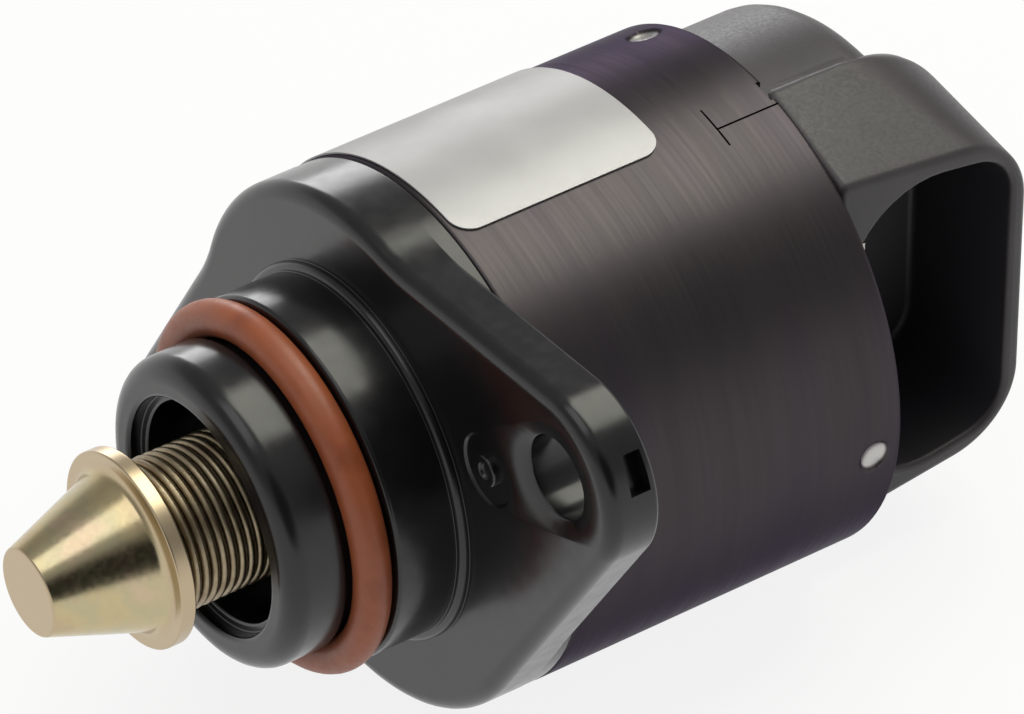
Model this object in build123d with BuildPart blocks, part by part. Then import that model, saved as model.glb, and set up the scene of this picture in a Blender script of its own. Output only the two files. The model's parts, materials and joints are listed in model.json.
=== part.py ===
from build123d import *
import math
import os

# Idle air control valve: a can-type stepper motor whose turning rotor winds a lead screw,
# and with it the conical pintle, in and out of a flanged nose.
# Millimetres. X runs along the motor axis with the pintle towards -X, the flange's mounting
# face is the plane x = 0, the connector socket opens towards -Y, and Z is up.

os.makedirs("parts", exist_ok=True)

# A full turn in degrees
full_turn = 360

# Clearances
press_gap = 0.02
running_gap = 0.05
seat_gap = 0.05

# Flange and skirt of the front housing
flange_thickness = 3.6
flange_tip_radius = 6.1
far_tip_radius = 4.7
flange_waist_depth = 0.8
flange_waist_fillet = 16.0
flange_edge_fillet = 1.0
bolt_circle_diameter = 48.4
bolt_clock = 29.5
bolt_hole_radius = 2.75
bolt_mouth_margin = 1.0
bolt_mouth_depth = 0.45
tip_notch_length = 1.4
tip_notch_wall = 0.5
tip_notch_width = 2.6
tip_notch_depth = 1.2
mould_mark_radius = 1.0
mould_mark_height = 0.2
mould_mark_distance = 16.5
skirt_length = 1.2
housing_spigot_length = 2.7

# Nose of the front housing
root_ring_radius = 12.5
root_ring_length = 0.6
shoulder_radius = 12.0
shoulder_length = 4.85
groove_width = 2.65
groove_depth = 2.15
nose_radius = 10.3
nose_length = 11.5
nose_fillet = 1.4
nose_wall = 2.4
nose_step_depth = 1.0
nose_step = 0.6
spring_pocket_depth = 7.0

# Seal ring
seal_cord_radius = 1.2

# Pintle
pintle_reach = 23.8
pintle_tip_radius = 2.9
pintle_tip_chamfer = 0.25
pintle_base_radius = 5.3
pintle_cone_length = 6.9
collar_radius = 6.5
collar_thickness = 1.1
pintle_pilot_length = 1.8

# Pintle spring and its seat
spring_wire = 0.6
spring_outer_radius = 5.0
spring_coils = 15.4
pilot_gap = 0.25
spring_washer_thickness = 0.5
spring_washer_overhang = 1.2

# Lead screw and its guide
screw_radius = 2.5
screw_flat = 2.1
screw_insert = 5.5
screw_flat_margin = 1.0
pintle_travel = 8.0
guide_bush_radius = 4.6
guide_bush_relief = 1.0

# Ball bearing
bearing_bore_radius = 5.0
bearing_outer_radius = 9.5
bearing_width = 5.0
ball_radius = 1.19
ball_count = 8
race_land_share = 0.75
cage_wall = 0.9
cage_side = 0.45
retainer_thickness = 0.5

# Rotor. Its share is of the room between the nut and the outside of the windings.
rotor_share = 0.51
magnet_thickness = 2.8
magnet_end_gap = 1.0
hub_front_gap = 0.2
hub_shoulder_margin = 0.15
nut_radius = 4.5
nut_length = 8.0
nut_offset = 2.0
screw_room = 0.5
rear_journal_radius = 4.0

# Stator
air_gap = 0.5
stator_sheet = 0.8
stack_length = 8.0
claw_count = 6
claw_base_share = 0.72
claw_tip_share = 0.42
claw_end_gap = 0.4
bobbin_wall = 0.6
winding_margin = 0.4

# Can
can_radius = 17.5
can_wall = 0.8
seam_clock = 76.0
seam_length = 4.8
seam_slit = 0.2
seam_bar_before = 1.8
seam_bar_after = 1.4
rim_notch_width = 1.7
rim_notch_depth = 0.45
rim_notch_clock = 80.1
stake_count = 3
stake_clock = -4.6
stake_setback = 2.0
stake_ball_radius = 1.6
stake_depth = 0.5
stake_nib_radius = 0.9
stake_nib_length = 0.45

# Label on the can
label_thickness = 0.12
label_front_margin = 0.4
label_length = 15.2
label_clock_low = 76.5
label_clock_high = 160.0
label_corner = 1.5

# Rear cover and connector
cover_spigot_length = 5.0
cover_step = 1.4
cover_depth = 8.5
cover_fillet = 1.2
shroud_length = 15.6
shroud_mouth = 10.0
shroud_back = 1.2
shroud_back_fillet = 0.8
shroud_draft = 2.5
shroud_half_front = 14.1
shroud_half_rear = 12.0
shroud_corner = 5.0
shroud_wall = 1.7
socket_front_wall = 1.6
socket_front_corner = 6.0
socket_depth = 10.0
rear_bush_wall = 2.0
rear_bush_length = 3.5
rear_relief = 0.6
terminal_count = 4
terminal_spacing = 4.8
terminal_width = 1.5
terminal_thickness = 0.8
terminal_setback = 6.3
terminal_row = 6.5
terminal_tip = 5.5

# Stations along the axis
can_front = flange_thickness + skirt_length
spigot_rear = can_front + housing_spigot_length
pocket_floor = spigot_rear - bearing_width
stator_front = spigot_rear + retainer_thickness
stator_middle = stator_front + stack_length
stator_rear = stator_middle + stack_length
bush_rear = stator_rear + rear_bush_length
can_rear = stator_rear + cover_spigot_length
cover_rear = can_rear + cover_depth
groove_front = -shoulder_length - groove_width
pocket_front = -nose_length + spring_pocket_depth
washer_front = pocket_front - spring_washer_thickness
collar_front = -pintle_reach + pintle_cone_length
collar_rear = collar_front + collar_thickness
pilot_rear = collar_rear + pintle_pilot_length
magnet_front = stator_front + magnet_end_gap
magnet_rear = stator_rear - magnet_end_gap
nut_front = magnet_front + nut_offset
nut_rear = nut_front + nut_length
bearing_middle = pocket_floor + bearing_width / 2

# Radii that follow from the fits
can_inner = can_radius - can_wall
flange_waist_radius = can_radius - flange_waist_depth
cover_radius = can_radius - cover_step
spigot_radius = can_inner - seat_gap
groove_radius = shoulder_radius - groove_depth
nose_bore = nose_radius - nose_wall
spring_pocket_radius = nose_bore - nose_step
spring_inner_radius = spring_outer_radius - spring_wire
spring_mean_radius = spring_outer_radius - spring_wire / 2
pilot_radius = spring_inner_radius - pilot_gap
stator_radius = can_inner - seat_gap
winding_outer = stator_radius - stator_sheet - winding_margin
magnet_outer_radius = nut_radius + rotor_share * (winding_outer - nut_radius)
magnet_inner_radius = magnet_outer_radius - magnet_thickness
claw_inner = magnet_outer_radius + air_gap
claw_outer = claw_inner + stator_sheet
bobbin_barrel = claw_outer + 2 * seat_gap
winding_inner = bobbin_barrel + bobbin_wall + press_gap
ball_circle = (bearing_bore_radius + bearing_outer_radius) / 2
inner_race_radius = ball_circle - race_land_share * ball_radius
outer_race_radius = ball_circle + race_land_share * ball_radius
journal_radius = bearing_bore_radius - press_gap
hub_bore = screw_radius + screw_room
rear_bush_radius = rear_journal_radius + rear_bush_wall

# Planes. Angles about the axis are clock angles: 0 points towards -Y and 90 points up.
front_plane = Plane(origin=(0, 0, 0), x_dir=(0, -1, 0), z_dir=(-1, 0, 0))


def radial(clock):
    """The unit vector that points outwards at a clock angle."""
    angle = math.radians(clock)
    return Vector(0, -math.cos(angle), math.sin(angle))


def tangent_plane(clock, radius, station=0.0):
    """A plane that touches a cylinder about the axis, with its x along the axis."""
    outward = radial(clock)
    return Plane(origin=outward * radius + Vector(station, 0, 0), x_dir=(1, 0, 0), z_dir=outward)


def axial_plane(clock):
    """A plane through the axis: its x runs along the axis and its y outwards."""
    outward = radial(clock)
    return Plane(origin=(0, 0, 0), x_dir=(1, 0, 0), z_dir=Vector(1, 0, 0).cross(outward))


def turned(*points):
    """A solid turned about the motor axis from a closed profile of (station, radius) points."""
    with BuildPart() as body:
        with BuildSketch(Plane.XZ):
            with BuildLine():
                Polyline(*points, close=True)
            make_face()
        revolve(axis=Axis.X)
    return body.part


def ring(front, rear, inner, outer):
    """A plain ring about the motor axis."""
    return turned((front, inner), (front, outer), (rear, outer), (rear, inner))


def save(part, name):
    """Label a finished piece and write it."""
    part.label = name
    export_step(part, f"parts/{name}.step")


# Front housing: a moulding with the nose, the seal groove, the flange and the can's spigot
bush_seat_rear = pocket_floor - guide_bush_relief
hub_room_radius = journal_radius + seat_gap + press_gap
pocket_radius = bearing_outer_radius + press_gap
bush_seat_radius = guide_bush_radius + press_gap


def lobe(body_radius, tip_radius, clock):
    """The outline of one flange lobe: the hull of a body circle and a round tip at a bolt."""
    with BuildSketch() as outline:
        Circle(body_radius)
        with PolarLocations(bolt_circle_diameter / 2, 1, start_angle=clock):
            Circle(tip_radius)
        make_hull()
    return outline.sketch


bolt_mouth_radius = bolt_hole_radius + bolt_mouth_margin
bolt_mouth_angle = 2 * math.degrees(math.atan(bolt_mouth_margin / bolt_mouth_depth))
far_clock = bolt_clock + full_turn / 2


def kink(tip_radius, clock, side):
    """Where a waisted side of a lobe leaves the round body, on its higher (1) or lower (-1) side."""
    side_lean = math.acos((flange_waist_radius - tip_radius) / (bolt_circle_diameter / 2))
    body_lean = side_lean - math.acos(flange_waist_radius / can_radius)
    angle = math.radians(clock) + side * body_lean
    return (can_radius * math.cos(angle), can_radius * math.sin(angle), 0)


kinks = [
    kink(flange_tip_radius, bolt_clock, 1),
    kink(far_tip_radius, far_clock, -1),
    kink(far_tip_radius, far_clock, 1),
]
below_bolts = (Align.CENTER, Align.MAX)
near_half = (2 * bolt_circle_diameter, 2 * bolt_circle_diameter)

with BuildSketch() as straight_side:
    add(lobe(can_radius, flange_tip_radius, bolt_clock))
    Rectangle(*near_half, rotation=bolt_clock, align=below_bolts, mode=Mode.INTERSECT)

with BuildPart() as flange_plate:
    with BuildSketch(front_plane) as flange_outline:
        add(straight_side.sketch)
        add(lobe(flange_waist_radius, flange_tip_radius, bolt_clock))
        add(lobe(flange_waist_radius, far_tip_radius, far_clock))
        Circle(can_radius)
        for corner in kinks:
            fillet(flange_outline.vertices().sort_by_distance(corner)[0], flange_waist_fillet)
    extrude(amount=-flange_thickness)
    fillet(flange_plate.edges().group_by(Axis.X)[0], flange_edge_fillet)
    with BuildSketch(front_plane):
        Circle((pocket_radius + root_ring_radius) / 2)
    extrude(amount=-flange_thickness, mode=Mode.SUBTRACT)
    with Locations(front_plane):
        with PolarLocations(bolt_circle_diameter / 2, 2, start_angle=bolt_clock):
            CounterSinkHole(bolt_hole_radius, bolt_mouth_radius, counter_sink_angle=bolt_mouth_angle)
    with BuildSketch(front_plane.offset(tip_notch_length + tip_notch_wall - flange_thickness)):
        with PolarLocations(bolt_circle_diameter / 2 + flange_tip_radius, 1, start_angle=bolt_clock):
            Rectangle(2 * tip_notch_depth, tip_notch_width)
    extrude(amount=-tip_notch_length, mode=Mode.SUBTRACT)
    with BuildSketch(front_plane):
        with PolarLocations(mould_mark_distance, 1, start_angle=bolt_clock):
            Circle(mould_mark_radius)
    extrude(amount=mould_mark_height)

with BuildPart() as front_housing:
    add(
        turned(
            (-nose_length, nose_bore),
            (-nose_length, nose_radius),
            (groove_front, nose_radius),
            (groove_front, groove_radius),
            (-shoulder_length, groove_radius),
            (-shoulder_length, shoulder_radius),
            (-root_ring_length, shoulder_radius),
            (-root_ring_length, root_ring_radius),
            (flange_thickness, root_ring_radius),
            (flange_thickness, can_radius),
            (can_front, can_radius),
            (can_front, spigot_radius),
            (spigot_rear, spigot_radius),
            (spigot_rear, pocket_radius),
            (pocket_floor, pocket_radius),
            (pocket_floor, hub_room_radius),
            (bush_seat_rear, hub_room_radius),
            (bush_seat_rear, bush_seat_radius),
            (pocket_front, bush_seat_radius),
            (pocket_front, spring_pocket_radius),
            (-nose_length + nose_step_depth, spring_pocket_radius),
            (-nose_length + nose_step_depth, nose_bore),
        )
    )
    fillet(front_housing.edges().group_by(Axis.X)[0].sort_by(SortBy.LENGTH)[-1], nose_fillet)
    add(flange_plate.part)
save(front_housing.part, "front_housing")

# Seal ring in the nose groove
with BuildPart() as seal_ring:
    with Locations(((groove_front - shoulder_length) / 2, 0, 0)):
        Torus(groove_radius + seat_gap + seal_cord_radius, seal_cord_radius, rotation=(0, 90, 0))
save(seal_ring.part, "seal_ring")

# Pintle: a plated cone with a collar that the spring pushes on
with BuildPart() as pintle:
    add(
        turned(
            (-pintle_reach, 0),
            (-pintle_reach, pintle_tip_radius - pintle_tip_chamfer),
            (-pintle_reach + pintle_tip_chamfer, pintle_tip_radius),
            (collar_front, pintle_base_radius),
            (collar_front, collar_radius),
            (collar_rear, collar_radius),
            (collar_rear, pilot_radius),
            (pilot_rear, pilot_radius),
            (pilot_rear, screw_radius + press_gap),
            (pilot_rear - screw_insert, screw_radius + press_gap),
            (pilot_rear - screw_insert, 0),
        )
    )
save(pintle.part, "pintle")

# Lead screw: round where the nut grips it, with two flats where the guide keeps it from turning.
# It is long enough for the nut and the guide to hold it all the way along the pintle's travel.
screw_front = pilot_rear - screw_insert
screw_rear = nut_rear + pintle_travel
screw_flat_front = pilot_rear + seat_gap
screw_flat_rear = bush_seat_rear + pintle_travel + screw_flat_margin
with BuildPart() as lead_screw:
    with BuildSketch(Plane.YZ.offset(screw_front)):
        Circle(screw_radius)
    extrude(amount=screw_rear - screw_front)
    with BuildSketch(Plane.YZ.offset(screw_flat_front)):
        with Locations((0, screw_flat + screw_radius), (0, -screw_flat - screw_radius)):
            Rectangle(2 * screw_radius, 2 * screw_radius)
    extrude(amount=screw_flat_rear - screw_flat_front, mode=Mode.SUBTRACT)
save(lead_screw.part, "lead_screw")

# Guide bush: pressed into the housing's web, its flat-sided hole holds the screw from turning
with BuildPart() as guide_bush:
    with BuildSketch(Plane.YZ.offset(pocket_front)):
        Circle(guide_bush_radius)
        with BuildSketch(mode=Mode.SUBTRACT):
            Circle(screw_radius + running_gap)
            Rectangle(4 * screw_radius, 2 * (screw_flat + running_gap), mode=Mode.INTERSECT)
    extrude(amount=bush_seat_rear - pocket_front)
save(guide_bush.part, "guide_bush")

# Spring washer: the spring's seat on the housing's web
with BuildPart() as spring_washer:
    add(ring(washer_front, pocket_front, hub_bore, spring_outer_radius + spring_washer_overhang))
save(spring_washer.part, "spring_washer")

# Pintle spring: a close-wound coil whose ends lie on the collar and on the washer
spring_front = collar_rear + press_gap + spring_wire / 2
spring_length = washer_front - press_gap - spring_wire / 2 - spring_front
spring_pitch = spring_length / spring_coils
with BuildPart() as pintle_spring:
    with BuildLine():
        coil = Helix(spring_pitch, spring_length, spring_mean_radius, (spring_front, 0, 0), (1, 0, 0))
    with BuildSketch(Plane(origin=coil @ 0, z_dir=coil % 0)):
        Circle(spring_wire / 2)
    sweep(path=coil, is_frenet=True)
save(pintle_spring.part, "pintle_spring")

# Ball bearing that carries the rotor in the front housing
groove_torus = ball_radius + running_gap
with BuildPart() as bearing_outer_race:
    add(ring(pocket_floor, spigot_rear, outer_race_radius, bearing_outer_radius))
    with Locations((bearing_middle, 0, 0)):
        Torus(ball_circle, groove_torus, rotation=(0, 90, 0), mode=Mode.SUBTRACT)
save(bearing_outer_race.part, "bearing_outer_race")

with BuildPart() as bearing_inner_race:
    add(ring(pocket_floor + seat_gap, spigot_rear, bearing_bore_radius, inner_race_radius))
    with Locations((bearing_middle, 0, 0)):
        Torus(ball_circle, groove_torus, rotation=(0, 90, 0), mode=Mode.SUBTRACT)
save(bearing_inner_race.part, "bearing_inner_race")

ball_plane = Plane.YZ.offset(bearing_middle)
with BuildPart() as bearing_balls:
    with Locations(ball_plane):
        with PolarLocations(ball_circle, ball_count):
            Sphere(ball_radius)
save(bearing_balls.part, "bearing_balls")

cage_half = ball_radius + running_gap + cage_side
with BuildPart() as bearing_cage:
    add(
        ring(
            bearing_middle - cage_half,
            bearing_middle + cage_half,
            ball_circle - cage_wall / 2,
            ball_circle + cage_wall / 2,
        )
    )
    for number in range(ball_count):
        ball_clock = full_turn / ball_count * number
        with BuildSketch(tangent_plane(ball_clock, ball_circle - cage_wall, bearing_middle)):
            Circle(ball_radius + running_gap)
        extrude(amount=2 * cage_wall, mode=Mode.SUBTRACT)
save(bearing_cage.part, "bearing_cage")

# Retainer plate that holds the bearing in its pocket
with BuildPart() as bearing_retainer:
    add(ring(spigot_rear, stator_front, outer_race_radius + seat_gap, stator_radius))
save(bearing_retainer.part, "bearing_retainer")

# Rotor: a moulded hub on the bearing, a ring magnet round it and a threaded nut inside it
hub_front = pocket_floor + hub_front_gap
hub_shoulder = inner_race_radius - hub_shoulder_margin
hub_radius = magnet_inner_radius - press_gap
with BuildPart() as rotor_hub:
    add(
        turned(
            (hub_front, hub_bore),
            (hub_front, journal_radius),
            (spigot_rear, journal_radius),
            (spigot_rear, hub_shoulder),
            (magnet_front, hub_shoulder),
            (magnet_front, hub_radius),
            (magnet_rear, hub_radius),
            (magnet_rear, rear_journal_radius - running_gap),
            (bush_rear, rear_journal_radius - running_gap),
            (bush_rear, hub_bore),
            (nut_rear + press_gap, hub_bore),
            (nut_rear + press_gap, nut_radius + press_gap),
            (nut_front - press_gap, nut_radius + press_gap),
            (nut_front - press_gap, hub_bore),
        )
    )
save(rotor_hub.part, "rotor_hub")

with BuildPart() as rotor_nut:
    add(ring(nut_front, nut_rear, screw_radius + running_gap, nut_radius))
save(rotor_nut.part, "rotor_nut")

with BuildPart() as rotor_magnet:
    add(ring(magnet_front, magnet_rear, magnet_inner_radius, magnet_outer_radius))
save(rotor_magnet.part, "rotor_magnet")


# Stator: two coils side by side, each between a cup and a plate with interlaced claw poles
def claws(base, tip, first_clock):
    """A ring of tapered pole claws that stand along the axis from one station to another."""
    pitch = full_turn / claw_count
    half_base = claw_outer * math.radians(pitch / 4) * claw_base_share
    half_tip = claw_outer * math.radians(pitch / 4) * claw_tip_share
    with BuildPart() as blades:
        for number in range(claw_count):
            with BuildSketch(tangent_plane(first_clock + pitch * number, claw_inner / 2)):
                with BuildLine():
                    Polyline(
                        (base, -half_base),
                        (base, half_base),
                        (tip, half_tip),
                        (tip, -half_tip),
                        close=True,
                    )
                make_face()
            extrude(amount=claw_outer)
        add(ring(min(base, tip), max(base, tip), claw_inner, claw_outer), mode=Mode.INTERSECT)
    return blades.part


def stator_cup(end, inside, first_clock):
    """A drawn cup: its wall plate at one end of a coil, its rim round the coil, and its claws."""
    step = math.copysign(stator_sheet, inside - end)
    far = inside - math.copysign(stator_sheet + claw_end_gap, inside - end)
    with BuildPart() as cup:
        add(ring(end, end + step, claw_inner, stator_radius))
        add(ring(end, inside, stator_radius - stator_sheet, stator_radius))
        add(claws(end, far, first_clock))
    return cup.part


def stator_plate(inside, end, first_clock):
    """A flat plate with claws that lies in the middle of the motor and closes a cup."""
    step = math.copysign(stator_sheet, end - inside)
    far = end - math.copysign(stator_sheet + claw_end_gap, end - inside)
    with BuildPart() as plate:
        add(ring(inside, inside + step, claw_inner, stator_radius - stator_sheet - seat_gap))
        add(claws(inside, far, first_clock))
    return plate.part


def bobbin(front, rear):
    """A moulded spool for one coil."""
    rim = stator_radius - stator_sheet - 2 * seat_gap
    return turned(
        (front, bobbin_barrel),
        (front, rim),
        (front + bobbin_wall, rim),
        (front + bobbin_wall, bobbin_barrel + bobbin_wall),
        (rear - bobbin_wall, bobbin_barrel + bobbin_wall),
        (rear - bobbin_wall, rim),
        (rear, rim),
        (rear, bobbin_barrel),
    )


def winding(front, rear):
    """The wound wire of one coil, as one ring that fills its bobbin."""
    end_gap = bobbin_wall + press_gap
    return ring(front + end_gap, rear - end_gap, winding_inner, winding_outer)


half_claw = full_turn / (2 * claw_count)
coil_front = stator_front + stator_sheet + seat_gap
coil_rear = stator_middle - stator_sheet - seat_gap
save(stator_cup(stator_front, stator_middle, 0), "front_stator_cup")
save(stator_plate(stator_middle, stator_front, half_claw), "front_stator_plate")
save(bobbin(coil_front, coil_rear), "front_bobbin")
save(winding(coil_front, coil_rear), "front_winding")
save(stator_cup(stator_rear, stator_middle, half_claw / 2), "rear_stator_cup")
save(stator_plate(stator_middle, stator_rear, 3 * half_claw / 2), "rear_stator_plate")
save(bobbin(coil_front + stack_length, coil_rear + stack_length), "rear_bobbin")
save(winding(coil_front + stack_length, coil_rear + stack_length), "rear_winding")

# Can: a rolled steel sleeve, slit where its seam is locked and staked onto the rear cover
stake_station = can_rear - stake_setback
stake_clocks = [stake_clock + full_turn / stake_count * number for number in range(stake_count)]
with BuildPart() as can_sleeve:
    add(ring(can_front, can_rear, can_inner, can_radius))
    with BuildSketch(tangent_plane(seam_clock, can_inner - can_wall)):
        with Locations((can_rear - seam_length / 2, 0)):
            Rectangle(seam_length, seam_slit)
        with Locations((can_rear - seam_length, (seam_bar_after - seam_bar_before) / -2)):
            Rectangle(seam_slit, seam_bar_before + seam_bar_after)
    extrude(amount=3 * can_wall, mode=Mode.SUBTRACT)
    with BuildSketch(tangent_plane(rim_notch_clock, can_inner - can_wall)):
        with Locations((can_rear, 0)):
            Rectangle(2 * rim_notch_depth, rim_notch_width)
    extrude(amount=3 * can_wall, mode=Mode.SUBTRACT)
    for clock in stake_clocks:
        with BuildSketch(tangent_plane(clock, can_inner - stake_nib_length, stake_station)):
            Circle(stake_nib_radius)
        extrude(amount=stake_nib_length + can_wall / 4)
        with Locations(tangent_plane(clock, can_radius - stake_depth + stake_ball_radius, stake_station)):
            Sphere(stake_ball_radius, mode=Mode.SUBTRACT)
save(can_sleeve.part, "can_sleeve")

# Label: a thin bare sticker round the upper side of the can
label_inner = can_radius + press_gap
label_front = can_front + label_front_margin
with BuildPart() as label:
    with BuildSketch(axial_plane(label_clock_high)):
        with Locations((label_front + label_length / 2, label_inner + label_thickness / 2)):
            Rectangle(label_length, label_thickness)
    revolve(axis=Axis.X, revolution_arc=label_clock_high - label_clock_low)
    fillet(label.edges().sort_by(SortBy.LENGTH)[:4], label_corner)
save(label.part, "label")

# Rear bush and thrust washer that carry the rotor's rear journal
with BuildPart() as rear_bush:
    add(ring(stator_rear, bush_rear, rear_journal_radius, rear_bush_radius))
save(rear_bush.part, "rear_bush")

with BuildPart() as thrust_washer:
    add(ring(magnet_rear + running_gap, stator_rear, rear_journal_radius, rear_bush_radius))
save(thrust_washer.part, "thrust_washer")


# Terminals: bent blades from the coils through the cover into the socket
def terminal(height):
    """One bent blade at a height above the axis."""
    middle = can_rear + terminal_setback
    tip = -shroud_mouth + terminal_tip
    with BuildPart() as blade:
        with BuildSketch(Plane.XY.offset(height - terminal_width / 2)):
            with BuildLine():
                FilletPolyline(
                    (stator_rear, terminal_row),
                    (middle, terminal_row),
                    (middle, tip),
                    radius=terminal_thickness,
                )
            trace(line_width=terminal_thickness)
        extrude(amount=terminal_width)
    return blade.part


terminal_heights = [
    terminal_spacing * (number - (terminal_count - 1) / 2) for number in range(terminal_count)
]
terminals = [terminal(height) for height in terminal_heights]
for number, blade in enumerate(terminals, start=1):
    save(blade, f"terminal_{number}")

# Rear cover: a moulded disc with a spigot in the can and the connector's shroud on its back
shroud_rear = can_rear + shroud_length
back_plane = Plane.XZ.offset(-shroud_back)
mouth_plane = Plane.XZ.offset(shroud_mouth)
with BuildPart() as shroud:
    with BuildSketch(back_plane):
        with BuildLine():
            Polyline(
                (can_rear, -shroud_half_front),
                (can_rear, shroud_half_front),
                (shroud_rear, shroud_half_rear),
                (shroud_rear, -shroud_half_rear),
                close=True,
            )
        shell = make_face()
        fillet(shell.vertices().group_by(Axis.X)[-1], shroud_corner)
    extrude(amount=shroud_mouth + shroud_back, taper=shroud_draft)
    fillet(shroud.faces().sort_by(Axis.Y)[-1].edges().sort_by(Axis.X)[1:], shroud_back_fillet)

with BuildPart() as rear_cover:
    add(
        turned(
            (stator_rear, rear_bush_radius + press_gap),
            (stator_rear, spigot_radius),
            (can_rear, spigot_radius),
            (can_rear, cover_radius),
            (cover_rear, cover_radius),
            (cover_rear, 0),
            (bush_rear + rear_relief, 0),
            (bush_rear + rear_relief, rear_journal_radius),
            (bush_rear, rear_journal_radius),
            (bush_rear, rear_bush_radius + press_gap),
        )
    )
    fillet(rear_cover.edges().group_by(Axis.X)[-1], cover_fillet)
    with BuildSketch(mouth_plane):
        with Locations((can_rear + shroud_length / 2, 0)):
            Rectangle(shroud_length, 2 * can_radius)
    extrude(amount=can_radius, mode=Mode.SUBTRACT)
    add(shroud.part)
    with BuildSketch(mouth_plane):
        with BuildLine():
            Polyline(
                (can_rear + socket_front_wall, -shroud_half_front + shroud_wall),
                (can_rear + socket_front_wall, shroud_half_front - shroud_wall),
                (shroud_rear - shroud_wall, shroud_half_rear - shroud_wall),
                (shroud_rear - shroud_wall, -shroud_half_rear + shroud_wall),
                close=True,
            )
        hollow = make_face()
        fillet(hollow.vertices().group_by(Axis.X)[-1], shroud_corner - shroud_wall)
        fillet(hollow.vertices().group_by(Axis.X)[0], socket_front_corner)
    extrude(amount=-socket_depth, mode=Mode.SUBTRACT)
    for blade in terminals:
        add(blade, mode=Mode.SUBTRACT)
    for clock in stake_clocks:
        with BuildSketch(tangent_plane(clock, can_inner - stake_nib_length - press_gap, stake_station)):
            Circle(stake_nib_radius + press_gap)
        extrude(amount=stake_nib_length, mode=Mode.SUBTRACT)
save(rear_cover.part, "rear_cover")
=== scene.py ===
# %% [markdown]
# # An idle air control valve, dressed for its picture
#
# The valve is a small stepper motor in a steel can. Its rotor winds a screw, and the screw
# carries a plated cone, the pintle, in and out of a black nose with a sealing ring. The exact
# solids come packed as a frame of nodes. This lesson lays finer surfaces over the pieces that
# show, gives every piece a finish, and lights the lot. All sizes here are millimetres, and they
# become Blender's metres only when a mesh is made.

import json

import bmesh
import bpy
import numpy as np
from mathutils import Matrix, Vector


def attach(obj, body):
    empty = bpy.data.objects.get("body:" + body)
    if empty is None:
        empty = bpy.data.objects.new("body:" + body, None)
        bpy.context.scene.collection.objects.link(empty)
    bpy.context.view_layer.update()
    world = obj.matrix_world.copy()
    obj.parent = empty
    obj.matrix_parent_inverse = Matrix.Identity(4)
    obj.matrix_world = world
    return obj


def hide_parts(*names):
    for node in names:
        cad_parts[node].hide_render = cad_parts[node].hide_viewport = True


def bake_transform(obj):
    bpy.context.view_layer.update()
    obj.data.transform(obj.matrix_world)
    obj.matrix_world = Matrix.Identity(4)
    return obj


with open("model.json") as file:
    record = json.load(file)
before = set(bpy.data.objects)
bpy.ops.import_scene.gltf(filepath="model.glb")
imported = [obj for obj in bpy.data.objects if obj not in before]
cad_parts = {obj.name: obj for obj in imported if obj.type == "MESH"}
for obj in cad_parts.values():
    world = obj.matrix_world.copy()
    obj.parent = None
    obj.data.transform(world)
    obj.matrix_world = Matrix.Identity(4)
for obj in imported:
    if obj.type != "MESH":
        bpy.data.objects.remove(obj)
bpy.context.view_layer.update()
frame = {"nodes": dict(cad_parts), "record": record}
MM = 0.001

# %% [markdown]
# ## From a grid of points to a mesh
#
# Every new piece starts as an array of points with rows and columns, worked out by a formula.
# Neighbouring points make a quad. A grid can wrap round in either direction, so the same few
# lines give an open sheet, a tube, or a closed ring. Where a whole row sits on one point, as at
# the tip of a cone, the tidy step merges it into a single pole. Doing the sums on whole arrays
# keeps the code short, and the shape stays exact at any density.

# %% Grid helpers


def grid_quads(rows, columns, wrap_rows, wrap_columns):
    """Corner numbers of every quad: point (i, j), then its neighbours along the row and the column."""
    i = np.arange(rows if wrap_rows else rows - 1)[:, None]
    j = np.arange(columns if wrap_columns else columns - 1)[None, :]
    below = (i + 1) % rows
    right = (j + 1) % columns
    corners = [i * columns + j, i * columns + right, below * columns + right, below * columns + j]
    return np.stack(np.broadcast_arrays(*corners), -1).reshape(-1, 4)


def tidy(mesh, reach=1e-6):
    """Merge points closer than the reach in metres, drop empty faces and turn all faces outwards."""
    work = bmesh.new()
    work.from_mesh(mesh)
    bmesh.ops.remove_doubles(work, verts=work.verts, dist=reach)
    bmesh.ops.dissolve_degenerate(work, edges=work.edges, dist=reach)
    bmesh.ops.recalc_face_normals(work, faces=work.faces)
    work.to_mesh(mesh)
    work.free()


def piece_from_grid(name, points, wrap_rows=False, wrap_columns=True):
    """An object whose mesh is the grid of points, an array of rows by columns by three, in mm."""
    rows, columns = points.shape[:2]
    quads = grid_quads(rows, columns, wrap_rows, wrap_columns)
    mesh = bpy.data.meshes.new(name)
    mesh.from_pydata((points.reshape(-1, 3) * MM).tolist(), [], quads.tolist())
    tidy(mesh)
    piece = bpy.data.objects.new(name, mesh)
    bpy.context.scene.collection.objects.link(piece)
    return piece


def smooth(piece, crease=33):
    """Smooth shading, with edges that bend by more than the crease angle kept sharp."""
    piece.data.shade_smooth()
    piece.data.set_sharp_from_angle(angle=np.radians(crease))
    print(piece.name, len(piece.data.polygons), "faces")


# %% [markdown]
# ## Turned shapes
#
# Most of the valve is round about the motor axis, as if it came off a lathe. A turned piece needs
# only its profile: corners of a station along the axis and a radius from it. Real edges are never
# knife sharp, so each corner also has a rounding, which becomes an arc. A guard point just outside
# each arc keeps the smooth shading of the arc from leaking over the flat next to it. Angles about
# the axis are clock angles: 0 points towards -Y, where the connector opens, and 90 points up.

# %% Rounded profiles and turned pieces
GUARD = 0.03


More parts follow.
